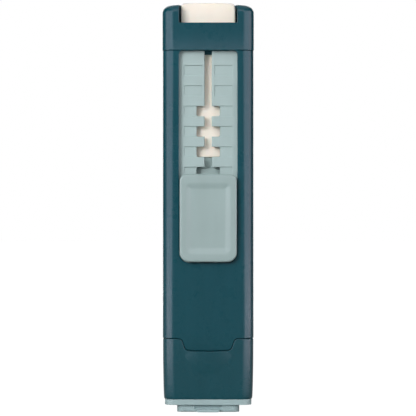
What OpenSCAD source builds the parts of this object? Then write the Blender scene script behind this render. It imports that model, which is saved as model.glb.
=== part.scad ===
// Retractable block eraser in a flat stick, with a pencil sharpener in its lower end.
// Upright: +Z runs up the stick to the eraser, the front with the thumb pad faces -Y.
// The origin is on the pencil entry's axis, in the plane that the stick stands on.

/* [Body] */
// Width of the casing, side to side
body_w = 22.8; // [22.7:0.1:23]
// Depth of the casing, front to back
body_d = 13; // [13:0.1:13.4]
// Radius of the casing's four long corners
corner_r = 3; // [2.6:0.1:3.2]
// Wall of the casing and of the bottom cap
wall = 1.3; // [1.2:0.05:1.35]
// Height of the seam between the nose and the casing
nose_seam_z = 90.6; // [90.5:0.1:91]
// Height of the seam between the casing and the bottom cap
cap_seam_z = 18.5; // [18.2:0.1:19]
// Underside of the floor between the slider and the shavings chamber
floor_z = 33; // [31:0.5:34]

/* [Nose] */
// Width of the nose
nose_w = 23; // [22.9:0.1:23.2]
// Height of the nose at the middle of its crown
nose_top_z = 102.3; // [101.8:0.05:102.4]
// How far the crown climbs from its front to its back
nose_climb = 0.7; // [0:0.1:0.8]
// Top edge of the low front wall
mouth_z = 97.5; // [97.2:0.1:98]
// Width of the mouth
mouth_w = 14.6; // [14.5:0.1:15]
// How far the front flares out from the mouth down to the seam
nose_flare = 0.55; // [0:0.05:0.6]
// Radius of the crown across the width
crown_r = 100; // [80:5:150]

/* [Window and rail] */
// Width of the window in the front wall
window_w = 14.6; // [14.5:0.1:14.8]
// Depth from the casing's face to the rail's face
rail_recess = 1.7; // [1.6:0.05:1.75]
// Thickness of the rail's plate
rail_t = 1.4; // [1.3:0.05:1.4]
// Distance from one notch to the next
pitch = 5.1; // [5.05:0.01:5.12]
// Width of the slot that the pad's neck runs in
slot_w = 1.8; // [1.75:0.05:2.2]
// Width of a notch
notch_w = 5.9; // [5.8:0.1:6.1]
// Height of a notch, and of the shallow pockets in line with it
notch_h = 2.6; // [2.5:0.05:2.7]

/* [Eraser] */
// Width of the eraser
eraser_w = 13.7; // [13.3:0.1:13.8]
// Thickness of the eraser
eraser_d = 6.4; // [6:0.1:6.4]
// Lower end of the eraser
eraser_z = 63.85; // [63.7:0.05:64]
// Upper end of the eraser, drawn back
eraser_top_z = 102.7; // [101.7:0.05:103.2]

/* [Thumb pad] */
// Width of the pad
pad_w = 14.3; // [14:0.1:14.3]
// Length of the pad
pad_l = 21.9; // [21.5:0.1:22]
// How far the pad stands out of the casing's face
pad_proud = 2; // [1.6:0.1:2.4]
// Depth of the dish
dish_h = 0.5; // [0.4:0.05:0.8]
// How far the pad presses in
press = 1.1; // [1.1:0.01:1.12]

/* [Sharpener] */
// Radius of the pencil entry
entry_r = 4.1; // [4:0.05:4.15]
// Length of the entry's straight wall
entry_l = 5; // [4.5:0.1:5]
// Half of the cone's angle
cone_a = 12; // [11.8:0.1:12.2]
// Width of the step that the stick stands on
step_w = 15.6; // [15:0.1:16]
// Height of the step
step_h = 1.8; // [1.7:0.1:2]
// Height of the flange above the step
flange_h = 1.4; // [1.3:0.1:1.5]

/* [Hidden] */

dark = [0.12, 0.29, 0.33];
pale = [0.63, 0.71, 0.71];
cream = [0.95, 0.92, 0.87];
steel = [0.74, 0.75, 0.77];

round_n = 48;
eps = 0.01;

// Faces and openings of the casing
front_y = -body_d / 2;
back_y = body_d / 2;
in_w = body_w - 2 * wall;
in_d = body_d - 2 * wall;
in_r = corner_r - wall;
floor_t = 1.4;
window_r = 1.25;

// Nose: its face, the rounding of its crown, and the spigot with its two snap ridges
nose_face_y = front_y + 0.2;
flare_z = mouth_z - 0.5;
nose_round = 1.85;
nose_spigot_l = 4.4;
nose_fit = 0.05;
snap_z = nose_seam_z - 2.8;
snap_y = 1;
snap_l = 5;

// Spigot on the casing that the bottom cap slides over
spigot_l = 6;
spigot_gap = 0.07;
spigot_t = 0.9;
cap_w = body_w - 0.08;
cap_in_w = cap_w - 2 * wall;
cap_in_d = body_d - 2 * wall;

// Tongue at the seam of the cap
tongue_l = 3.15;
tongue_w = 11.9;
tongue_lean = 0.3;
tongue_flare_r = 1.3;
tongue_tip_r = 1;
tongue_slope = 0.4;
tongue_sag = 0.22;
seam_gap = 0.13;

// Rail, and the rows of its pockets and notches
rail_y = front_y + rail_recess;
rail_back_y = rail_y + rail_t;
rail_w = 16.6;
rail_rim = 0.85;
rail_top_z = nose_seam_z - 0.05;
rail_z = floor_z + floor_t + 0.1;
row_top_z = 85.6;
rows = 9;
first_notch = 2;
pocket_depth = 0.3;
pocket_in = 1.55;
pocket_out = 6.05;
notch_r = 0.5;
slot_z = 41.6;

// Channel behind the rail, for the carriage
eraser_y = rail_back_y + 1.1;
eraser_back_y = eraser_y + eraser_d;
channel_back_y = eraser_back_y + 0.25;
carrier_w = 14.8;
carrier_y = eraser_y + 0.15;
carrier_z = 38.7;
carrier_top_z = 61.2;
rib_w = 1;
rib_x = carrier_w / 2 + 0.3;
back_rib_x = 4.5;
prong_x = 4;
prong_y = eraser_y + eraser_d / 2;

// Pad, neck and latch at rest, locked in the lowest notch
pad_z = 48.55;
pad_face_y = front_y - pad_proud;
pad_under_y = rail_y - press - 0.15;
pad_top_r = 1.7;
pad_low_r = 2.4;
pad_gap = (window_w - pad_w) / 2;
window_z = pad_z - pad_l / 2 - pad_gap;
window_low_r = pad_low_r + pad_gap;
pad_edge_r = 0.5;
pad_skin = 0.9;
dish_w = 10.9;
dish_l = 17.6;
dish_z = pad_z - 0.25;
dish_slant = 1.6;
latch_z = row_top_z - (rows - 1) * pitch;
boss_w = notch_w - 0.4;
boss_h = notch_h - 0.4;
boss_t = 1;
plate_y = rail_back_y + 0.1;
plate_t = 1;
plate_w = 8.4;
plate_low_z = 42.2;
plate_top_z = 54.8;
neck_w = slot_w - 0.3;
tenon_w = 1;
tenon_z = [latch_z, plate_top_z - 2.2];
pin_r = 0.8;
pin_x = 3.2;
pin_z = 48.5;
pin_l = 2.1;
spring_w = 3.6;
spring_t = 0.25;
spring_l = 10.2;
spring_seat_y = 0.9;

// Sharpener: the cone's wall, the plane that the blade lies on, and its insert
step_d = 10.4;
flange_z = step_h;
plug_z = step_h + flange_h;
plug_h = 2.8;
cone_slope = tan(cone_a);
cone_end_r = 0.5;
cone_tip_z = entry_l + (entry_r - cone_end_r - 0.05) / cone_slope;
block_top_z = 22.6;
block_left = -4.5;
block_right = 4.7;
lip_w = 5.8;
lip_t = 0.7;
foot_bevel = 0.3;
blade_cut = 0.25;
blade_t = 0.5;
screw_x = 3;
screw_l = 10;
thread_r = 0.8;

function arc(cx, cy, r, from, to, n = 6) =
    [for (i = [0:n]) let (a = from + (to - from) * i / n) [cx + r * cos(a), cy + r * sin(a)]];

// A box between two corners
module block(low, high) translate(low) cube(high - low);

// A flat outline with four equal round corners
module round_outline(w, d, r) {
    square([w - 2 * r, d], center = true);
    square([w, d - 2 * r], center = true);
    for (sx = [-1, 1], sy = [-1, 1])
        translate([sx * (w / 2 - r), sy * (d / 2 - r)]) circle(r = r, $fn = round_n);
}

// An upright bar with round corners
module bar(w, d, r, low, high, y = 0)
    translate([0, y, low]) linear_extrude(high - low) round_outline(w, d, r);

// A flat outline from the points of its right half, lowest first
module both_sides(right)
    polygon(concat(right, [for (i = [len(right) - 1:-1:0]) [-right[i][0], right[i][1]]]));

// A shape drawn in X and Z, carried along Y
module from_front(y0, y1) translate([0, y1, 0]) rotate([90, 0, 0])
    linear_extrude(y1 - y0) children();

// A shape drawn in Y and Z, carried along X
module from_side(x0, x1) translate([x0, 0, 0]) rotate([90, 0, 90])
    linear_extrude(x1 - x0) children();

// A shape drawn in X and Y, carried up
module from_top(z0, z1) translate([0, 0, z0]) linear_extrude(z1 - z0) children();

// The tongue seen from the front: a tip that sags in the middle, leaning sides and a flared root
module tongue_outline(gap) {
    tip = tongue_w / 2 + gap;
    root = tip + tongue_lean;
    tip_r = tongue_tip_r + gap;
    flare_r = tongue_flare_r - gap;
    low = cap_seam_z - tongue_l - gap;
    top = cap_seam_z + (gap > 0 ? 2 : 0);
    edge = cap_seam_z - gap;
    both_sides(concat(
        [for (i = [0.2:0.2:0.8]) [i * (tip - tip_r), low + tongue_sag * i * i]],
        arc(tip - tip_r, low + tongue_sag + tip_r, tip_r, -86, -4),
        arc(root + flare_r, edge - flare_r, flare_r, 176, 90),
        [[root + flare_r, top]]));
}

// The window: small corners under the nose, wide ones that follow the pad at its lowest
module window_outline() {
    top = nose_seam_z + 0.05;
    both_sides(concat(
        arc(window_w / 2 - window_low_r, window_z + window_low_r, window_low_r, -90, 0, 12),
        arc(window_w / 2 - window_r, top - window_r, window_r, 0, 90, 8)));
}

// Ribs on the inner walls that guide the carriage and hold the rail against the front wall
module casing_ribs() {
    top = nose_seam_z - nose_spigot_l - 0.2;
    low = floor_z + floor_t - eps;
    for (s = [0, 1]) mirror([s, 0, 0]) {
        block([rib_x + 0.1, rail_back_y + 0.05, low], [in_w / 2 + eps, rail_back_y + 1.05, top]);
        for (y = [0.2, 2.6])
            block([rib_x, y, low], [in_w / 2 + eps, y + rib_w, top]);
        block([back_rib_x, channel_back_y, low], [back_rib_x + rib_w, in_d / 2 + eps, top]);
    }
}

module main_casing() color(dark) {
    difference() {
        union() {
            bar(body_w, body_d, corner_r, cap_seam_z, nose_seam_z);
            intersection() {
                bar(body_w, body_d, corner_r, cap_seam_z - tongue_l - 1, cap_seam_z + 1);
                from_front(front_y - 1, back_y + 1) tongue_outline(0);
            }
            bar(cap_in_w - 2 * spigot_gap, cap_in_d - 2 * spigot_gap, in_r,
                cap_seam_z - spigot_l, cap_seam_z + 1);
        }
        bar(in_w, in_d, in_r, cap_seam_z + 0.8, floor_z);
        bar(cap_in_w - 2 * spigot_t, cap_in_d - 2 * spigot_t, in_r - 0.6,
            cap_seam_z - spigot_l - 1, cap_seam_z + 1);
        bar(in_w, in_d, in_r, floor_z + floor_t, nose_seam_z + 1);
        from_front(front_y - 1, front_y + wall + eps) window_outline();
        // The tongue's face falls back towards its tip, in front and behind
        for (s = [0, 1]) mirror([0, s, 0]) from_side(-tongue_w, tongue_w)
            polygon([[front_y - 1, cap_seam_z + 0.3], [front_y, cap_seam_z + 0.3],
                [front_y + tongue_slope * 0.3, cap_seam_z - tongue_l / 2],
                [front_y + tongue_slope, cap_seam_z - tongue_l - 1],
                [front_y - 1, cap_seam_z - tongue_l - 1]]);
        // Grooves that the nose's ridges snap into
        for (s = [-1, 1])
            translate([s * in_w / 2, snap_y, snap_z]) cube([0.7, snap_l + 0.2, 0.9], center = true);
    }
    casing_ribs();
}

// A flat rounded outline as points. The half at the back runs from right to left and the half in
// front comes back, so that the points have the same x in pairs
function rim(w, front, back, r, along = 1, n = 8) = let (x = w / 2 - r,
    half = concat(arc(x, back - r, r, 0, 90, n),
        [for (i = [1:1:along - 1]) [x * (1 - 2 * i / along), back]],
        arc(-x, back - r, r, 90, 180, n)))
    concat(half, [for (i = [len(half) - 1:-1:0]) [half[i][0], front + back - half[i][1]]]);

// Rim of the nose: its front drawn out to y, the whole drawn in by an inset, and where crowned is
// true its height follows the crown
function nose_rim(z, y, inset = 0, crowned = false) =
    [for (p = rim(nose_w - 2 * inset, y + inset, back_y - inset, corner_r - inset * 0.7, 6))
        [p[0], p[1], z - (crowned ? crown_drop(p[0]) - nose_climb * (p[1] - front_y) / body_d : 0)]];
function crown_drop(x) = crown_r - sqrt(crown_r * crown_r - x * x);

// The front wall's line: upright at the mouth, curving out towards the seam
function nose_line(z) = nose_face_y - nose_flare * pow((flare_z - z) / (flare_z - nose_seam_z), 2);

// A closed skin over a stack of rims with equal numbers of points. The lowest is flat, and the
// topmost is closed by strips that run from its back to its front
module loft(rims) {
    m = len(rims[0]);
    last = (len(rims) - 1) * m;
    polyhedron([for (rim = rims) each rim], concat(
        [[for (i = [0:m - 1]) i]],
        [for (i = [0:m / 2 - 2]) [last + m - 1 - i, last + m - 2 - i, last + i + 1, last + i]],
        [for (j = [0:len(rims) - 2], i = [0:m - 1], upper = [0, 1])
            let (a = j * m + i, b = j * m + (i + 1) % m) upper ? [a, b + m, b] : [a, a + m, b + m]]));
}

// The flare steps up to the mouth, then the rounding turns over to the crown
module nose_shell() loft(concat(
    [for (i = [0:6]) let (z = nose_seam_z + (flare_z - nose_seam_z) * i / 6)
        nose_rim(z, nose_line(z))],
    [for (a = [0:10:90]) nose_rim(nose_top_z - nose_round * (1 - sin(a)), nose_face_y,
        nose_round * (1 - cos(a)), true)]));

// The mouth's walls stand clear of the eraser in front, and guide it closely further back
module nose_cap() color(dark) {
    side = mouth_w / 2;
    guide = eraser_w / 2 + 0.15;
    guide_y = eraser_y + 2.4;
    inner = side + 1.3;
    roof_z = mouth_z - 1.5;
    skirt_y = eraser_y - 0.2;
    skirt_t = 0.8;
    difference() {
        union() {
            nose_shell();
            // Spigot inside the casing, open in front for the rail
            difference() {
                bar(in_w - 2 * nose_fit, in_d - 2 * nose_fit, in_r, nose_seam_z - nose_spigot_l,
                    nose_seam_z + eps);
                block([-in_w, -body_d, 0], [in_w, skirt_y - skirt_t, nose_seam_z - eps]);
            }
            for (s = [-1, 1])
                translate([s * (in_w / 2 - nose_fit), snap_y, snap_z])
                    cube([0.5, snap_l, 0.6], center = true);
        }
        // Room for the carrier below the roof, and the eraser's way out through it
        block([-inner, skirt_y, snap_z - 10], [inner, channel_back_y, roof_z]);
        block([-inner, -body_d, snap_z - 10], [inner, skirt_y + eps, nose_seam_z - eps]);
        block([-guide, skirt_y, roof_z - 1], [guide, channel_back_y, nose_top_z + 5]);
        block([-side, skirt_y, roof_z - 1], [side, guide_y, nose_top_z + 5]);
        block([-side, -body_d, mouth_z], [side, skirt_y + eps, nose_top_z + 5]);
        // The front wall is hollow behind
        block([-8, nose_face_y + 1.5, nose_seam_z - 5], [8, skirt_y - skirt_t, roof_z]);
    }
    // Skirt that closes the slot's upper end behind the rail
    block([-side - 0.2, skirt_y - skirt_t, nose_seam_z - 1], [side + 0.2, skirt_y, nose_seam_z + eps]);
}

module notch_outline() round_outline(notch_w, notch_h, notch_r);

module guide_rail() color(pale) difference() {
    union() {
        block([-rail_w / 2, rail_y, rail_z], [rail_w / 2, rail_back_y, rail_top_z]);
        for (s = [0, 1]) mirror([s, 0, 0])
            block([rail_w / 2 - rail_rim, front_y + wall, rail_z],
                [rail_w / 2, rail_y + eps, rail_top_z]);
    }
    block([-slot_w / 2, rail_y - 1, slot_z], [slot_w / 2, rail_back_y + 1, rail_top_z + 1]);
    for (i = [0:rows - 1]) translate([0, 0, row_top_z - i * pitch]) {
        for (s = [0, 1]) mirror([s, 0, 0])
            block([pocket_in, rail_y - 0.1, -notch_h / 2],
                [pocket_out, rail_y + pocket_depth, notch_h / 2]);
        if (i >= first_notch)
            from_front(rail_y - 1, rail_back_y + 1) notch_outline();
    }
}

// The two barbed prongs of the carrier that hold the eraser's lower end
module prongs() for (s = [-1, 1]) translate([s * prong_x, 0, eraser_z])
    from_front(prong_y - 0.6, prong_y + 0.6)
        polygon([[-0.8, -eps], [0.8, -eps], [0.5, 3.2], [0.9, 3.6], [0, 5.6], [-0.9, 3.6], [-0.5, 3.2]]);

// A block worn at the top: its end is a little crowned and its corners are rubbed, the right more
module eraser() color(cream) {
    half = eraser_w / 2;
    right_wear = [0.9, 1.8];
    left_wear = [0.65, 1.1];
    crown = 0.08;
    difference() {
        intersection() {
            bar(eraser_w, eraser_d, 0.6, eraser_z, eraser_top_z, prong_y);
            from_front(-body_d, body_d) polygon(concat(
                [[0.5 - half, eraser_z], [half - 0.5, eraser_z], [half, eraser_z + 0.5]],
                [for (a = [0:15:90]) [half - right_wear[0] * (1 - cos(a)),
                    eraser_top_z - crown - right_wear[1] * (1 - sin(a))]],
                [[half - 2.6, eraser_top_z - crown / 3], [2, eraser_top_z], [-4.4, eraser_top_z]],
                [for (a = [90:15:180]) [-half + left_wear[0] * (1 + cos(a)),
                    eraser_top_z - crown - left_wear[1] * (1 - sin(a))]],
                [[-half, eraser_z + 0.5]]));
        }
        prongs();
    }
}

module eraser_carrier() color(pale) {
    half = carrier_w / 2;
    room = 0.2;
    core_y = 2.1;
    core_wall = 1.2;
    difference() {
        union() {
            block([-half, carrier_y, carrier_z], [half, eraser_back_y, carrier_top_z]);
            block([-half, carrier_y + 0.6, carrier_top_z - eps], [half, eraser_back_y - 0.6, eraser_z]);
        }
        // Pocket for the latch plate, the spring behind it and the plate's guide pins
        block([-plate_w / 2 - room, carrier_y - 1, plate_low_z - room],
            [plate_w / 2 + room, plate_y + plate_t + press + 0.1, plate_top_z + room]);
        block([-spring_w / 2 - room, carrier_y - 1, pin_z - spring_l / 2 - room],
            [spring_w / 2 + room, spring_seat_y, pin_z + spring_l / 2 + room]);
        for (s = [-1, 1]) translate([s * pin_x, 0, pin_z]) rotate([-90, 0, 0])
            translate([0, 0, -3]) cylinder(r = pin_r + 0.05, h = 4.4, $fn = 32);
        // Pockets in the back that keep the moulding even
        for (s = [0, 1]) mirror([s, 0, 0]) {
            block([0.6, core_y, carrier_z + core_wall],
                [half - core_wall, eraser_back_y + 1, pin_z - 0.6]);
            block([0.6, core_y, pin_z + 0.6],
                [half - core_wall, eraser_back_y + 1, carrier_top_z - core_wall]);
        }
    }
    prongs();
}

// The pad's outline, drawn in by an inset, with smaller corners at its upper end
module pad_outline(inset) {
    for (corner = [[-1, 1, pad_top_r], [1, 1, pad_top_r], [-1, -1, pad_low_r], [1, -1, pad_low_r]])
        translate([corner[0] * (pad_w / 2 - corner[2]), corner[1] * (pad_l / 2 - corner[2])])
            circle(r = corner[2] - inset, $fn = 32);
}

module pad_slice(y, inset) from_front(y, y + eps) translate([0, pad_z]) pad_outline(inset);

module thumb_pad() color(pale) {
    difference() {
        hull() {
            pad_slice(pad_under_y - eps, 0);
            for (a = [0:22.5:90])
                pad_slice(pad_face_y + pad_edge_r * (1 - sin(a)), pad_edge_r * (1 - cos(a)));
        }
        hull() {
            from_front(pad_face_y - 0.3, pad_face_y - 0.29) translate([0, dish_z])
                round_outline(dish_w + 1.2, dish_l + 1.2, 1.6);
            from_front(pad_face_y + dish_h, pad_face_y + dish_h + eps) translate([0, dish_z])
                round_outline(dish_w - 2 * dish_slant, dish_l - 2 * dish_slant, 0.9);
        }
        // Hollow underneath, so that the moulding stays even
        block([1.3 - pad_w / 2, pad_face_y + dish_h + pad_skin, pad_z - pad_l / 2 + 1.5],
            [pad_w / 2 - 1.3, pad_under_y + 1, pad_z + pad_l / 2 - 1.5]);
    }
    // Neck through the slot, with two tenons in the latch plate
    block([-neck_w / 2, pad_face_y + dish_h + pad_skin - 0.1, plate_low_z + 0.4],
        [neck_w / 2, plate_y - boss_t, plate_top_z - 0.4]);
    for (z = tenon_z)
        block([-tenon_w / 2, plate_y - boss_t - 0.1, z - tenon_w],
            [tenon_w / 2, plate_y + plate_t, z + tenon_w]);
}

module latch_plate() color(pale) {
    difference() {
        union() {
            block([-plate_w / 2, plate_y, plate_low_z], [plate_w / 2, plate_y + plate_t, plate_top_z]);
            translate([0, 0, latch_z]) from_front(plate_y - boss_t, plate_y + eps)
                round_outline(boss_w, boss_h, 0.4);
            block([-neck_w / 2, plate_y - boss_t, plate_low_z + 0.4],
                [neck_w / 2, plate_y + eps, plate_top_z - 0.4]);
        }
        for (z = tenon_z)
            block([-tenon_w / 2, plate_y - boss_t - 1, z - tenon_w],
                [tenon_w / 2, plate_y + plate_t + 1, z + tenon_w]);
    }
    for (s = [-1, 1]) translate([s * pin_x, plate_y + plate_t - 0.1, pin_z]) rotate([-90, 0, 0])
        cylinder(r = pin_r, h = pin_l + 0.1, $fn = 32);
}

// A bowed leaf: part of a tube, its crown on the plate and its two ends on the carrier
module latch_spring() color(steel) {
    crown_y = plate_y + plate_t + 0.03;
    rise = spring_seat_y - 0.02 - crown_y;
    bow_r = (spring_l * spring_l / 4 + rise * rise) / (2 * rise);
    intersection() {
        translate([0, crown_y + bow_r, pin_z]) rotate([0, 90, 0]) difference() {
            cylinder(r = bow_r, h = spring_w, center = true, $fn = 96);
            cylinder(r = bow_r - spring_t, h = spring_w + 1, center = true, $fn = 96);
        }
        block([-spring_w, crown_y - 1, pin_z - spring_l], [spring_w, crown_y + rise, pin_z + spring_l]);
    }
}

// Half of a shallow round rise on the cap's face, highest at the seam, for the thumb
module thumb_rise() {
    reach = 5.8;
    height = 0.55;
    r = (reach * reach + height * height) / (2 * height);
    top = cap_seam_z - tongue_l - seam_gap;
    intersection() {
        translate([0, front_y - height + r, top]) sphere(r = r, $fn = 96);
        block([-reach - 1, front_y - 2, top - reach - 1], [reach + 1, front_y + 0.6, top]);
    }
}

// The cap's draft, as heights above its foot and how far each is drawn in: round the lower edge
// first, then slowly up to the seam
cap_draft = [[0, 0.42], [0.25, 0.3], [0.7, 0.24], [2, 0.18], [3.6, 0.13], [6.5, 0.07], [10, 0.02],
    [cap_seam_z - seam_gap - plug_z, 0]];

module bottom_cap() color(dark) {
    top = cap_seam_z - seam_gap;
    difference() {
        union() {
            loft([for (step = cap_draft)
                let (outline = rim(cap_w - 2 * step[1], front_y + step[1], back_y - step[1], corner_r))
                [for (p = outline) [p[0], p[1], plug_z + step[0]]]]);
            thumb_rise();
        }
        bar(cap_in_w, cap_in_d, in_r, plug_z - 1, top + 1);
        for (s = [0, 1]) mirror([0, s, 0])
            from_front(front_y - 2, front_y + wall + 0.3) tongue_outline(seam_gap);
    }
}

// Moves its children to the plane of the blade, which lies along the front of the cone
module on_blade_plane()
    translate([0, -entry_r + blade_cut / cos(cone_a), entry_l]) rotate([-cone_a, 0, 0]) children();

module sharpener_body() color(pale) {
    difference() {
        union() {
            // Step that the stick stands on, with bevelled lower edges in front and behind
            intersection() {
                bar(step_w, step_d, 1.6, 0, step_h + eps);
                from_side(-step_w, step_w) polygon([[foot_bevel - step_d / 2, 0],
                    [step_d / 2 - foot_bevel, 0], [step_d / 2, foot_bevel], [step_d / 2, plug_z],
                    [-step_d / 2, plug_z], [-step_d / 2, foot_bevel]]);
            }
            bar(cap_w - 1, body_d - 1, corner_r - 0.5, flange_z, plug_z);
            bar(cap_w - 2 * spigot_gap - 2 * wall, cap_in_d - 2 * spigot_gap, in_r,
                plug_z - eps, plug_z + plug_h);
            // Block round the cone
            from_side(block_left, block_right) polygon([[-5, plug_z], [5, plug_z], [5, plug_z + 3.5],
                [2.6, block_top_z], [-2.6, block_top_z], [-5, plug_z + 3.5]]);
            // Lip of the nail catch
            from_front(front_y + 0.05, -4)
                both_sides(concat(arc(lip_w / 2 - 0.5, 0.5, 0.5, -90, 0), [[lip_w / 2, lip_t]]));
        }
        // Room above the lip for a fingernail
        block([-lip_w / 2 - 0.5, -body_d, lip_t], [lip_w / 2 + 0.5, -step_d / 2 + 0.6, step_h]);
        // Rim of the plug, hollow round the block
        for (s = [0, 1]) mirror([s, 0, 0])
            block([block_right + 0.01, -4.1, plug_z + 1.2], [cap_in_w / 2 - 1.1, 4.1, plug_z + plug_h + 1]);
        // Straight pencil entry, cone and small end
        translate([0, 0, -1]) cylinder(r = entry_r, h = entry_l + 1, $fn = 64);
        translate([0, 0, entry_l - eps])
            cylinder(r1 = entry_r, r2 = entry_r - (cone_tip_z - entry_l) * cone_slope,
                h = cone_tip_z - entry_l, $fn = 64);
        translate([0, 0, cone_tip_z - 1]) cylinder(r = cone_end_r, h = 10, $fn = 32);
        on_blade_plane() {
            // Seat of the blade, and the throat beside its edge where the shaving comes out
            block([-10, -10, 2.2], [10, 0, 30]);
            from_top(2.2, 30) polygon([[0.2, 0.3], [-1.5, 1.6], [-10, 1.6], [-10, -1], [0.2, -1]]);
            translate([screw_x, 0, screw_l]) rotate([-90, 0, 0])
                cylinder(r = thread_r, h = 3.2, $fn = 32);
        }
    }
}

module sharpener_blade() color(steel) on_blade_plane() difference() {
    from_top(2.6, 16.4)
        polygon([[-0.1, 0], [0.55, -blade_t], [4.55, -blade_t], [4.55, 0]]);
    translate([screw_x, 0, screw_l]) rotate([90, 0, 0]) translate([0, 0, -1])
        cylinder(r = 1.05, h = 3, $fn = 32);
}

module blade_screw() color(steel) on_blade_plane() translate([screw_x, 0, screw_l]) {
    rotate([-90, 0, 0]) translate([0, 0, -blade_t]) cylinder(r = thread_r, h = blade_t + 2.8, $fn = 32);
    difference() {
        rotate([90, 0, 0]) translate([0, 0, blade_t]) cylinder(r = 1.6, h = 0.8, $fn = 32);
        block([-0.2, -blade_t - 1, -2], [0.2, -blade_t - 0.4, 2]);
    }
}

main_casing();
nose_cap();
guide_rail();
eraser();
eraser_carrier();
thumb_pad();
latch_plate();
latch_spring();
bottom_cap();
sharpener_body();
sharpener_blade();
blade_screw();
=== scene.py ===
"""Looks of a flat eraser stick with a sharpener in its foot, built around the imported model.

Shapes are worked out in millimetres, in the row frame: +X right, +Y back, +Z up, the foot at z 0.
They turn into metres when a mesh is made.
"""
import math

import bmesh
import bpy
import numpy as np
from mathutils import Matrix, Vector


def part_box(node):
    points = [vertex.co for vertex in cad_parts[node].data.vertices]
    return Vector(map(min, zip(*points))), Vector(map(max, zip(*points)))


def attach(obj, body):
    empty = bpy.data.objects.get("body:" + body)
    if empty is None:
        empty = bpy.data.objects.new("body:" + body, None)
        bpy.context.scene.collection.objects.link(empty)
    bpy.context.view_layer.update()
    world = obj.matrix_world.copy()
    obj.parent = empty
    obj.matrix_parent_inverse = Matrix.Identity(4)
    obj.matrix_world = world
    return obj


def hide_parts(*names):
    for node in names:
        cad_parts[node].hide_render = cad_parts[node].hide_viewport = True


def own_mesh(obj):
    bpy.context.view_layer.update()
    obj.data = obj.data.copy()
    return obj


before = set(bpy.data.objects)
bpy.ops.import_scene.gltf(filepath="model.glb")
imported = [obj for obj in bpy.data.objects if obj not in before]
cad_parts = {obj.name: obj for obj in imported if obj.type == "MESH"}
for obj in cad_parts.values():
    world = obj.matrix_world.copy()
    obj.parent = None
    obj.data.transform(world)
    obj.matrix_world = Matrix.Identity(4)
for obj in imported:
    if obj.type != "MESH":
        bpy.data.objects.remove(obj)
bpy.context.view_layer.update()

MM = 0.001

# Camera: the photograph's scale on the casing's front face, and where it was taken from
PHOTO_PIXELS = 416
PIXEL_MM = 0.25
SENSOR_MM = 36.0
CAMERA_GAP = 600.0
EYE_X = -0.05
EYE_Z = 51.1
NEAR_CLIP = 0.01
FAR_CLIP = 20

# Light: how far off the lamps stand in metres, and their tints
LAMP_GAP = 0.62
STRIP_GAP = 0.26
LOW_GAP = 0.25
WHITE = (1, 1, 1)
COOL = (1.1, 0.95, 1.07)

# Room, in metres. The world gives matt surfaces only a little fill, and the floor is grey to them.
# A share of white glow takes the grey's place for the camera, and a smaller one in reflections.
FILL_LEVEL = 0.12
FLOOR_HALF = 3.0
FLOOR_DROP = 0.00002
FLOOR_TONE = 0.42
FLOOR_WHITE = 0.85
FLOOR_MIRRORED = 0.2
FLOOR_GLOW = 1.18
CARD_COUNT = 8
CARD_RADIUS = 1.3
CARD_TOP = 1.6

# Moulded pieces: how near two corners are one, how flat a whole face is, which edges are rounded
# and in how many steps, and above how many corners a flat face is cut up again
JOIN_GAP = 0.0005
FLAT_ANGLE = math.radians(0.4)
EDGE_ANGLE = math.radians(28)
EDGE_STEPS = 3
MOST_CORNERS = 1000
FOOT_CORNERS = 16

# Rail: the rim round its recessed face, its slot, and how the slot's long edges are found
RAIL_RIM_DEPTH = 0.4
SLOT_W = 1.8
LIP_STEPS = 4
LIP_REACH = 0.02

# Thumb pad: corners from the lower right round to the lower left, edge, underside and dish
PAD_RADII = (2.4, 1.7, 1.7, 2.4)
PAD_EDGE = 0.5
PAD_EDGE_STEPS = 7
PAD_CHAMFER = 0.12
PAD_UNDER_INSET = 0.5
PAD_GAP = 0.15
PRESS = 1.1
LEAST_RADIUS = 0.25
DISH_SIZE = (11.8, 18.2)
DISH_RADII = (1.9, 1.6, 1.6, 1.9)
DISH_SLANT = 2.0
DISH_DEPTH = 0.45
DISH_DROP = 0.1
DISH_STEPS = 13
DISH_FLOOR_RADIUS = 0.6
DISH_FLOOR_STEPS = (0.35, 0.7)
DISH_SAG = 0.03

# The pad's neck: its size, its middle height, where it starts and ends, and its chamfered ends
NECK_W = 1.5
NECK_L = 11.8
NECK_Z = 48.5
NECK_RADIUS = 0.3
NECK_START = 0.9
NECK_END = 1.0
NECK_CHAMFER = 0.1
NECK_END_SIZE = 0.97

# Eraser: its worn top corners, as how far in and how far down, left and right. The lower end is
# drawn in as heights and sizes.
WEAR_LEFT = (0.6, 0.8)
WEAR_RIGHT = (0.85, 1.5)
WEAR_POWER = 6
ERASER_CROWN = 0.08
ERASER_EDGE = 0.5
ERASER_TOP_EDGE = (0.5, 0.4)
ERASER_FOOT = ((0, 0.94), (0.1, 0.98), (0.4, 1.0))
ERASER_SIDE = (2, 3)
ERASER_SIDE_STEPS = 12
ERASER_TOP_STEPS = 10
ERASER_END_SIZES = (0.8, 0.55, 0.3, 0.1)

# Leaf spring: its thickness, its round edge and blunt ends
LEAF_T = 0.25
LEAF_EDGE = 0.45
LEAF_STEPS = 41
LEAF_END = 0.99
LEAF_END_SIZE = 0.9


def box_mm(node):
    """A CAD node's lowest and highest corners, in millimetres."""
    low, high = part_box(node)
    return np.array(low) / MM, np.array(high) / MM


def link(name, mesh, body, nodes=(), material=None):
    """A finished piece: it rides on a body, stands for CAD nodes and takes a slot's finish."""
    piece = bpy.data.objects.new(name, mesh)
    bpy.context.scene.collection.objects.link(piece)
    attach(piece, body)
    if nodes:
        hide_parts(*nodes)
    if material:
        mesh.materials.clear()
        mesh.materials.append(material)
    return piece


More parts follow.
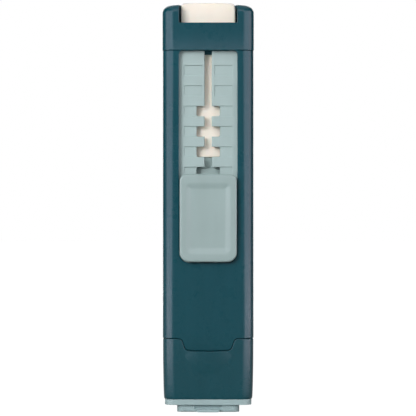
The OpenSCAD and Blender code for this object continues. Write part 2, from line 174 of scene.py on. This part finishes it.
def mesh_from(name, points, faces):
    """A smooth closed mesh from points in millimetres and faces as lists of point numbers."""
    mesh = bpy.data.meshes.new(name)
    mesh.from_pydata((np.asarray(points, float) * MM).tolist(), [], faces)
    work = bmesh.new()
    work.from_mesh(mesh)
    bmesh.ops.remove_doubles(work, verts=work.verts, dist=JOIN_GAP * MM)
    bmesh.ops.recalc_face_normals(work, faces=work.faces)
    for face in work.faces:
        face.smooth = True
    work.to_mesh(mesh)
    work.free()
    return mesh


def skin(name, rings):
    """A closed surface over rings of points in millimetres, which all have the same count.

    Neighbouring rings are joined by quads, and each end ring runs in to a point at its middle.
    """
    rings = np.asarray(rings, float)
    rows, around = rings.shape[:2]
    middles = [rings[0].mean(0), rings[-1].mean(0)]
    row, column = np.meshgrid(np.arange(rows - 1), np.arange(around), indexing="ij")
    here, beside = row * around + column, row * around + (column + 1) % around
    quads = np.stack([here, beside, beside + around, here + around], -1).reshape(-1, 4)
    turn = np.arange(around)
    beside = (turn + 1) % around
    last = (rows - 1) * around
    low_fan = np.stack([beside, turn, np.full(around, rows * around)], -1)
    high_fan = np.stack([turn + last, beside + last, np.full(around, rows * around + 1)], -1)
    return mesh_from(name, np.vstack([rings.reshape(-1, 3), middles]),
                     quads.tolist() + low_fan.tolist() + high_fan.tolist())


def rounded_ring(half_u, half_v, radii, corner_steps=8, side_steps=6):
    """A rectangle with round corners, as points (u, v) that go round from its right side's low end.

    Each corner is a quarter circle about its own centre, and the sides between are evenly divided.
    radii holds the lower right, upper right, upper left and lower left corner.
    """
    signs = np.array([[1, -1], [1, 1], [-1, 1], [-1, -1]])
    radii = np.broadcast_to(radii, 4)
    starts = np.radians([-90, 0, 90, 180])
    arcs = []
    for sign, radius, start in zip(signs, radii, starts):
        centre = sign * (np.array([half_u, half_v]) - radius)
        a = start + np.linspace(0, math.pi / 2, corner_steps + 1)
        arcs.append(centre + radius * np.stack([np.cos(a), np.sin(a)], -1))
    share = np.linspace(0, 1, side_steps + 1)[1:-1, None]
    runs = []
    for arc, following in zip(arcs, arcs[1:] + arcs[:1]):
        runs += [arc, arc[-1] + (following[0] - arc[-1]) * share]
    return np.vstack(runs)


def smooth(t):
    """0 to 1 with a level start and end."""
    t = np.clip(t, 0, 1)
    return t * t * (3 - 2 * t)


def bevel(piece, width):
    """Rounds a piece's sharp edges to a width in millimetres."""
    piece.data.set_sharp_from_angle(angle=EDGE_ANGLE)
    edge = piece.modifiers.new("rounded edges", "BEVEL")
    edge.width = width * MM
    edge.segments = EDGE_STEPS
    edge.limit_method = "ANGLE"
    edge.angle_limit = EDGE_ANGLE
    edge.use_clamp_overlap = False
    edge.miter_outer = "MITER_ARC"
    normals = piece.modifiers.new("level faces", "WEIGHTED_NORMAL")
    normals.keep_sharp = True


def solid_mesh(node, corners):
    """A CAD node's mesh with its loose triangles joined and its flat faces made whole.

    A flat face with more than a number of corners is cut up again.
    """
    work = bmesh.new()
    work.from_mesh(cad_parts[node].data)
    bmesh.ops.remove_doubles(work, verts=work.verts, dist=JOIN_GAP * MM)
    bmesh.ops.dissolve_limit(work, angle_limit=FLAT_ANGLE, verts=work.verts, edges=work.edges)
    many = [face for face in work.faces if len(face.verts) > corners]
    bmesh.ops.triangulate(work, faces=many)
    for face in work.faces:
        face.smooth = True
    mesh = bpy.data.meshes.new(node + "_moulding")
    work.to_mesh(mesh)
    work.free()
    return mesh


def moulding(name, node, body, material, edge, corners=MOST_CORNERS):
    """A piece in the shape of its CAD node, with the sharp edges rounded as a mould leaves them."""
    piece = link(name, solid_mesh(node, corners), body, [node], material)
    bevel(piece, edge)
    return piece


class Wire:
    """A value in a material. Sums of wires and numbers add Math nodes."""

    def __init__(self, finish, socket):
        self.finish, self.socket = finish, socket

    def math(self, operation, *values):
        return self.finish.node("Math", {"operation": operation}, dict(enumerate(values)))

    def __add__(self, other):
        return self.math("ADD", self, other)

    def __sub__(self, other):
        return self.math("SUBTRACT", self, other)

    def __mul__(self, other):
        return self.math("MULTIPLY", self, other)

    __radd__ = __add__
    __rmul__ = __mul__

    def step(self, low, high):
        """0 below low, 1 above high, smooth between."""
        return self.finish.node("MapRange", {"interpolation_type": "SMOOTHSTEP"},
                                {"Value": self, "From Min": low, "From Max": high})


class Finish:
    """A material under construction on Object coordinates, which are metres in the row frame."""

    def __init__(self, name):
        self.material = bpy.data.materials.new(name)
        self.material.use_nodes = True
        self.tree = self.material.node_tree
        self.tree.nodes.clear()
        self.place = self.node("TexCoord", output="Object")

    def node(self, kind, settings=None, values=None, output=0):
        """Adds a node: its settings first, then the values or wires of its sockets."""
        made = self.tree.nodes.new("ShaderNode" + kind)
        for key, value in (settings or {}).items():
            setattr(made, key, value)
        for key, value in (values or {}).items():
            if isinstance(value, Wire):
                self.tree.links.new(value.socket, made.inputs[key])
            else:
                made.inputs[key].default_value = value
        return None if output is None else Wire(self, made.outputs[output])

    def noise(self, size, detail=2.0, stretch=None):
        """Noise whose patches are about size millimetres across, drawn out by stretch."""
        place = self.place
        if stretch:
            place = self.node("Mapping", None, {"Vector": place, "Scale": stretch}, "Vector")
        return self.node("TexNoise", None,
                         {"Vector": place, "Scale": 1 / (size * MM), "Detail": detail}, "Fac")

    def blend(self, factor, first, second):
        """A colour between two colours."""
        return self.node("Mix", {"data_type": "RGBA"}, {0: factor, 6: first, 7: second}, 2)

    def bump(self, height, depth):
        """The normal of a surface that rises by height times depth in millimetres."""
        return self.node("Bump", None, {"Height": height, "Distance": depth * MM, "Strength": 1.0},
                         "Normal")

    def end(self, shader):
        """Ends the material in a shader and returns it."""
        self.node("OutputMaterial", None, {"Surface": shader}, None)
        return self.material

    def surface(self, values):
        """Ends the material in a Principled surface and returns it."""
        return self.end(self.node("BsdfPrincipled", None, values, "BSDF"))


def shade(colour, gain):
    """A linear colour made lighter or darker by a gain."""
    return (*[min(1.0, c * gain) for c in colour], 1.0)


def srgb(*values):
    """A linear colour from the 0 to 255 values that it shows as, none of them near black."""
    return tuple(((value / 255 + 0.055) / 1.055) ** 2.4 for value in values)


def moulded_plastic(name, colour, roughness, specular, grain):
    """Satin moulded plastic: fine grain, faint flow marks along the part and rubbed patches."""
    finish = Finish(name)
    broad = finish.noise(11, 3.0)
    flow = finish.noise(3.2, 2.0, stretch=(1.0, 1.0, 0.12))
    rubbed = finish.noise(5.5, 4.0).step(0.52, 0.74)
    fine = finish.noise(0.16, 1.0)
    pits = finish.noise(0.42, 2.0)
    tone = (broad * 0.6 + flow * 0.4).step(0.25, 0.75)
    return finish.surface({
        "Base Color": finish.blend(tone, shade(colour, 0.95), shade(colour, 1.05)),
        "Roughness": roughness + 0.04 * fine - 0.025 * rubbed + 0.02 * flow,
        "Specular IOR Level": specular,
        "Normal": finish.bump(fine * 0.6 + pits * 0.4, grain),
    })


def eraser_rubber(name):
    """Cream vinyl: a matt skin with broad tone, a fine powdery tooth and a few grey specks."""
    finish = Finish(name)
    broad = finish.noise(6.5, 3.0).step(0.3, 0.7)
    tooth = finish.noise(0.22, 3.0)
    specks = finish.noise(0.55, 1.0).step(0.74, 0.80)
    base = finish.blend(broad, shade(CREAM, 0.97), shade(CREAM, 1.02))
    return finish.surface({
        "Base Color": finish.blend(specks * 0.25, base, shade(CREAM, 0.6)),
        "Roughness": 0.62 + 0.1 * tooth,
        "Specular IOR Level": 0.3,
        "Subsurface Weight": 0.12,
        "Subsurface Radius": (0.9, 0.6, 0.4),
        "Subsurface Scale": 0.0012,
        "Normal": finish.bump(tooth, 0.012),
    })


def ground_steel(name, colour, roughness, stretch):
    """Steel with fine grinding lines drawn out along one direction."""
    finish = Finish(name)
    lines = finish.noise(0.07, 2.0, stretch=stretch)
    stain = finish.noise(2.4, 3.0)
    tone = stain.step(0.3, 0.8)
    return finish.surface({
        "Base Color": finish.blend(tone, shade(colour, 0.9), shade(colour, 1.05)),
        "Metallic": 1.0,
        "Roughness": roughness + 0.14 * lines + 0.05 * stain,
        "Normal": finish.bump(lines, 0.002),
    })


# Plastics and rubber as they show in even light, and the share of a lamp that each steel mirrors
TEAL = srgb(11, 71, 82)
CAP_TEAL = srgb(19, 73, 83)
PALE = srgb(164, 185, 184)
PAD_PALE = srgb(150, 171, 170)
FOOT_PALE = srgb(160, 184, 186)
CREAM = srgb(248, 239, 226)
STEEL = (0.60, 0.61, 0.63)
BLADE = (0.24, 0.27, 0.255)

dark_casing = moulded_plastic("teal_moulding", TEAL, 0.25, 0.25, 0.006)
dark_cap = moulded_plastic("teal_cap_moulding", CAP_TEAL, 0.25, 0.25, 0.006)
pale_rail = moulded_plastic("pale_rail_moulding", PALE, 0.46, 0.3, 0.004)
pale_pad = moulded_plastic("pale_pad_moulding", PAD_PALE, 0.44, 0.3, 0.006)
pale_foot = moulded_plastic("pale_foot_moulding", FOOT_PALE, 0.46, 0.3, 0.005)
rubber = eraser_rubber("cream_rubber")
spring_steel = ground_steel("rolled_spring_steel", STEEL, 0.22, (1.0, 1.0, 0.04))
blade_steel = ground_steel("ground_blade_steel", BLADE, 0.36, (0.05, 1.0, 1.0))


def set_camera():
    """The photograph's camera: level, at the height of the photograph's middle row."""
    data = bpy.data.cameras.new("front_camera")
    data.sensor_width = SENSOR_MM
    data.lens = SENSOR_MM * CAMERA_GAP / (PHOTO_PIXELS * PIXEL_MM)
    data.clip_start, data.clip_end = NEAR_CLIP, FAR_CLIP
    camera = bpy.data.objects.new("front_camera", data)
    bpy.context.scene.collection.objects.link(camera)
    front = box_mm("main_casing")[0][1]
    camera.location = (EYE_X * MM, (front - CAMERA_GAP) * MM, EYE_Z * MM)
    camera.rotation_euler = (math.radians(90), 0, 0)
    bpy.context.scene.camera = camera


def softbox(name, gap, azimuth, elevation, width, height, radiance, colour=WHITE,
            gloss=True, matt=True):
    """An area light on a sphere round the stick's middle, facing it. Azimuth 0 is the front.

    Without gloss it lights surfaces and isn't mirrored in them, and without matt it is only
    mirrored.
    """
    a, e = math.radians(azimuth), math.radians(elevation)
    back = Vector((math.sin(a) * math.cos(e), -math.cos(a) * math.cos(e), math.sin(e)))
    data = bpy.data.lights.new(name, "AREA")
    data.shape = "RECTANGLE"
    data.size, data.size_y = width, height
    data.energy = radiance * math.pi * width * height
    data.color = colour
    lamp = bpy.data.objects.new(name, data)
    bpy.context.scene.collection.objects.link(lamp)
    lamp.location = Vector((0, 0, EYE_Z * MM)) + back * gap
    lamp.rotation_mode = "QUATERNION"
    lamp.rotation_quaternion = (-back).to_track_quat("-Z", "Y")
    lamp.visible_camera = False
    lamp.visible_glossy = gloss
    lamp.visible_diffuse = matt


def set_world():
    """White to the camera and in reflections, and a faint fill for matt surfaces."""
    world = bpy.data.worlds.new("pale_room")
    bpy.context.scene.world = world
    world.use_nodes = True
    tree = world.node_tree
    tree.nodes.clear()
    path = tree.nodes.new("ShaderNodeLightPath")
    fill = tree.nodes.new("ShaderNodeMapRange")
    tree.links.new(path.outputs["Is Diffuse Ray"], fill.inputs["Value"])
    fill.inputs["To Min"].default_value = 1.0
    fill.inputs["To Max"].default_value = FILL_LEVEL
    room = tree.nodes.new("ShaderNodeBackground")
    room.inputs["Color"].default_value = (*WHITE, 1)
    tree.links.new(fill.outputs[0], room.inputs["Strength"])
    out = tree.nodes.new("ShaderNodeOutputWorld")
    tree.links.new(room.outputs[0], out.inputs["Surface"])


def studio_sheet(name, corners, material):
    """A flat sheet with four corners in metres, for the studio round the object."""
    mesh = bpy.data.meshes.new(name)
    mesh.from_pydata(corners, [], [(0, 1, 2, 3)])
    mesh.materials.append(material)
    sheet = bpy.data.objects.new(name, mesh)
    bpy.context.scene.collection.objects.link(sheet)
    return sheet


def set_cards():
    """Upright black cards in a ring outside the lamps: reflections see lamps against black."""
    turn = 360 / CARD_COUNT
    angles = np.radians((np.arange(CARD_COUNT) + 0.5) * turn)
    ring = CARD_RADIUS * np.stack([np.sin(angles), -np.cos(angles)], -1)
    for i, (one, two) in enumerate(zip(ring, np.roll(ring, -1, axis=0))):
        name = f"card_{i}"
        black = Finish(name).surface({"Base Color": (0, 0, 0, 1), "Specular IOR Level": 0.0})
        corners = [(*one, 0.0), (*two, 0.0), (*two, CARD_TOP), (*one, CARD_TOP)]
        card = studio_sheet(name, corners, black)
        card.visible_camera = card.visible_diffuse = card.visible_shadow = False


def set_floor():
    """A wide pale floor under the foot. The camera sees it as white with a faint shadow."""
    paper = Finish("white_floor")
    seen = paper.node("LightPath", output="Is Camera Ray")
    mirrored = paper.node("LightPath", output="Is Glossy Ray")
    through = paper.node("LightPath", output="Is Transmission Ray")
    lit = paper.node("BsdfDiffuse", None, {"Color": (*[FLOOR_TONE] * 3, 1)}, "BSDF")
    white = paper.node("Emission", None, {"Color": (*WHITE, 1), "Strength": FLOOR_GLOW},
                       "Emission")
    share = seen * FLOOR_WHITE + (mirrored + through) * FLOOR_MIRRORED
    mixed = paper.node("MixShader", None, {0: share, 1: lit, 2: white}, "Shader")
    half = FLOOR_HALF
    corners = [(-half, -half, 0), (half, -half, 0), (half, half, 0), (-half, half, 0)]
    floor = studio_sheet("floor", corners, paper.end(mixed))
    floor.location.z = -FLOOR_DROP


def pad_underside_y():
    """The pad's underside: clear of the rail's face by the travel of the press and a gap."""
    return box_mm("guide_rail")[0][1] + RAIL_RIM_DEPTH - PRESS - PAD_GAP


def pad_shape():
    """The pad from its flat underside round its edge and down into its dish, as rings.

    Each ring is a rounded rectangle, drawn in by an inset. The edge turns as a quarter circle, and
    the dish's wall goes down by depth * smooth(t) while it draws in by slant * t. The dish's floor
    sags a little towards its middle.
    """
    low, high = box_mm("thumb_pad")
    middle = (low[2] + high[2]) / 2
    half = np.array([high[0] - low[0], high[2] - low[2]]) / 2
    thick = pad_underside_y() - low[1]
    rows = []

    def row(size, radii, inset, depth, drop=0.0):
        radii = np.maximum(np.array(radii) - inset, LEAST_RADIUS)
        flat = rounded_ring(size[0] - inset, size[1] - inset, radii)
        depths = np.full(len(flat), low[1] + depth)
        rows.append(np.stack([flat[:, 0], depths, flat[:, 1] + middle - drop], -1))

    row(half, PAD_RADII, PAD_UNDER_INSET, thick)
    row(half, PAD_RADII, PAD_CHAMFER, thick)
    row(half, PAD_RADII, 0.0, thick - PAD_CHAMFER)
    for a in np.radians(np.linspace(0, 90, PAD_EDGE_STEPS)):
        row(half, PAD_RADII, PAD_EDGE * (1 - math.cos(a)), PAD_EDGE * (1 - math.sin(a)))
    dish = np.array(DISH_SIZE) / 2
    for t in np.linspace(0, 1, DISH_STEPS):
        row(dish, DISH_RADII, DISH_SLANT * t, DISH_DEPTH * float(smooth(t)), DISH_DROP)
    inner = dish - DISH_SLANT
    for t in DISH_FLOOR_STEPS:
        row(inner * (1 - t), DISH_FLOOR_RADIUS, 0.0, DISH_DEPTH + DISH_SAG * t, DISH_DROP)
    return skin("pad_button", rows)


def neck_shape():
    """The pad's neck: a rounded bar from inside the pad down to the latch plate."""
    low, high = box_mm("thumb_pad")
    flat = rounded_ring(NECK_W / 2, NECK_L / 2, NECK_RADIUS, 4, 3)
    start, end = low[1] + NECK_START, high[1] - NECK_END
    profile = ((start, NECK_END_SIZE), (start + NECK_CHAMFER, 1),
               (end - NECK_CHAMFER, 1), (end, NECK_END_SIZE))
    rings = [np.stack([flat[:, 0] * size, np.full(len(flat), y), flat[:, 1] * size + NECK_Z], -1)
             for y, size in profile]
    return skin("pad_neck", rings)


def eraser_shape():
    """A rubber block with worn top corners.

    Each ring is a rounded rectangle in X and Y. Round the top edge, as a goes from 0 to 90 degrees,
    it draws in by wear * (1 - cos a) in X and by an edge * (1 - cos a) in Y. It lies below the top
    by (drop * (x / half) ** power + edge) * (1 - sin a). Wear and drop run from the left corner's
    to the right corner's, and the top is crowned by crown * (x / half) ** 2.
    """
    low, high = box_mm("eraser")
    middle = (low[1] + high[1]) / 2
    half = np.array([high[0] - low[0], high[1] - low[1]]) / 2
    outline = rounded_ring(half[0], half[1], ERASER_EDGE, 8, 10)
    share = (outline[:, 0] / half[0] + 1) / 2
    wear = WEAR_LEFT[0] + (WEAR_RIGHT[0] - WEAR_LEFT[0]) * share
    drop = WEAR_LEFT[1] + (WEAR_RIGHT[1] - WEAR_LEFT[1]) * share
    corner = np.abs(outline[:, 0] / half[0]) ** WEAR_POWER
    edge_in, edge_down = ERASER_TOP_EDGE
    rings = []

    def ring(flat, z):
        heights = np.broadcast_to(z, len(flat))
        rings.append(np.stack([flat[:, 0], flat[:, 1] + middle, heights], -1))

    def topped(flat, fall):
        ring(flat, high[2] - ERASER_CROWN * (flat[:, 0] / half[0]) ** 2 - fall)

    def drawn_in(turn):
        factors = [1 - wear * turn / half[0], np.full(len(wear), 1 - edge_in * turn / half[1])]
        return outline * np.stack(factors, -1)

    for rise, size in ERASER_FOOT:
        ring(outline * size, low[2] + rise)
    below, above = ERASER_SIDE
    for z in np.linspace(low[2] + below, high[2] - above, ERASER_SIDE_STEPS):
        ring(outline, z)
    for a in np.radians(np.linspace(0, 90, ERASER_TOP_STEPS)):
        topped(drawn_in(1 - math.cos(a)), (drop * corner + edge_down) * (1 - math.sin(a)))
    for size in ERASER_END_SIZES:
        topped(drawn_in(1) * size, 0)
    return skin("eraser_block", rings)


def spring_shape():
    """A bowed leaf: a flat strip whose ends lie behind its middle by rise * (z / half) ** 2."""
    low, high = box_mm("latch_spring")
    half_w, half_l = (high[0] - low[0]) / 2, (high[2] - low[2]) / 2
    middle_z = (low[2] + high[2]) / 2
    rise = high[1] - low[1] - LEAF_T
    z = np.linspace(-1, 1, LEAF_STEPS)
    slope = 2 * rise * z / half_l
    lean = np.stack([np.ones(LEAF_STEPS), -slope], -1) / np.sqrt(1 + slope ** 2)[:, None]
    flat = rounded_ring(half_w, LEAF_T / 2, LEAF_T * LEAF_EDGE, 3, 3)
    spine = np.stack([low[1] + LEAF_T / 2 + rise * z ** 2,
                      middle_z + z * (half_l - LEAF_T / 2)], -1)
    sizes = np.where(np.abs(z) > LEAF_END, LEAF_END_SIZE, 1.0)
    rings = [np.stack([flat[:, 0] * size, y + flat[:, 1] * out, z + flat[:, 1] * up], -1)
             for (y, z), (out, up), size in zip(spine, lean, sizes)]
    return skin("leaf_spring", rings)


def press_flat(spring):
    """Gives the leaf a mesh of its own."""
    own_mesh(spring)


def soft_lips(piece, width):
    """Rounds the long edges of the rail's slot wider, with a bevel that comes before the other.

    An edge is one of them when both its ends lie on the rail's face and on a side of the slot.
    """
    mesh = piece.data
    points = np.zeros(len(mesh.vertices) * 3)
    mesh.vertices.foreach_get("co", points)
    points = points.reshape(-1, 3) / MM
    front = box_mm("guide_rail")[0][1] + RAIL_RIM_DEPTH
    on_face = np.abs(points[:, 1] - front) < LIP_REACH
    on_side = np.abs(np.abs(points[:, 0]) - SLOT_W / 2) < LIP_REACH
    ends = np.zeros(len(mesh.edges) * 2, int)
    mesh.edges.foreach_get("vertices", ends)
    lip = (on_face & on_side)[ends].reshape(-1, 2).all(axis=1)
    weights = mesh.attributes.new("bevel_weight_edge", "FLOAT", "EDGE")
    weights.data.foreach_set("value", lip.astype(np.float32))
    edge = piece.modifiers.new("slot lips", "BEVEL")
    edge.width = width * MM
    edge.segments = LIP_STEPS
    edge.limit_method = "WEIGHT"
    edge.use_clamp_overlap = False
    piece.modifiers.move(len(piece.modifiers) - 1, 0)


set_camera()
set_world()
set_floor()
set_cards()

# Only mirrored: strips that draw the long edges, and one for the nose
softbox("left_strip", STRIP_GAP, -54, 8, 0.35, 0.30, 3.7, COOL, matt=False)
softbox("right_strip", STRIP_GAP, 59, 8, 0.40, 0.30, 3.8, COOL, matt=False)
softbox("left_low", LOW_GAP, -53, -10, 0.32, 0.016, 9.5, COOL, matt=False)
softbox("right_low", LOW_GAP, 57, -10, 0.36, 0.016, 9.5, COOL, matt=False)
softbox("nose_strip", LAMP_GAP, 0, 36, 0.50, 0.26, 3.0, COOL, matt=False)

# Not mirrored: the light on the front and the sides
softbox("front_top", LAMP_GAP, 0, 42, 0.60, 0.35, 1.5, gloss=False)
softbox("key", LAMP_GAP, -27, 17, 0.20, 0.20, 17, gloss=False)
softbox("fill", LAMP_GAP, 12, 8, 0.50, 0.26, 1.0, gloss=False)
softbox("side_left", LAMP_GAP, -110, 12, 0.50, 0.50, 0.8, gloss=False)
softbox("side_right", LAMP_GAP, 110, 12, 0.50, 0.50, 0.8, gloss=False)

# Both: the light on the back
softbox("back_left", LAMP_GAP, -168, 20, 0.30, 0.60, 2.6)
softbox("back_right", LAMP_GAP, 168, 20, 0.30, 0.60, 2.6)

# Mouldings, each with the width that its edges are rounded to, and the pieces shaped here
moulding("casing_shell", "main_casing", "casing", dark_casing, 0.14)
moulding("nose_shell", "nose_cap", "casing", dark_casing, 0.14)
rail = moulding("rail_plate", "guide_rail", "casing", pale_rail, 0.05)
soft_lips(rail, 0.3)
link("eraser_block", eraser_shape(), "carriage", ["eraser"], rubber)
moulding("carrier_block", "eraser_carrier", "carriage", pale_rail, 0.12)
link("pad_button", pad_shape(), "button", ["thumb_pad"], pale_pad)
link("pad_neck", neck_shape(), "button", ["thumb_pad"], pale_pad)
moulding("latch_tongue", "latch_plate", "button", pale_rail, 0.1)
spring = link("leaf_spring", spring_shape(), "carriage", ["latch_spring"],
              spring_steel)
press_flat(spring)
moulding("cap_shell", "bottom_cap", "cap", dark_cap, 0.14)
moulding("foot_sharpener", "sharpener_body", "sharpener", pale_foot, 0.08,
         FOOT_CORNERS)
moulding("blade", "sharpener_blade", "sharpener", blade_steel, 0.03)
moulding("screw", "blade_screw", "sharpener", blade_steel, 0.08)

bpy.context.scene.view_settings.view_transform = "Standard"
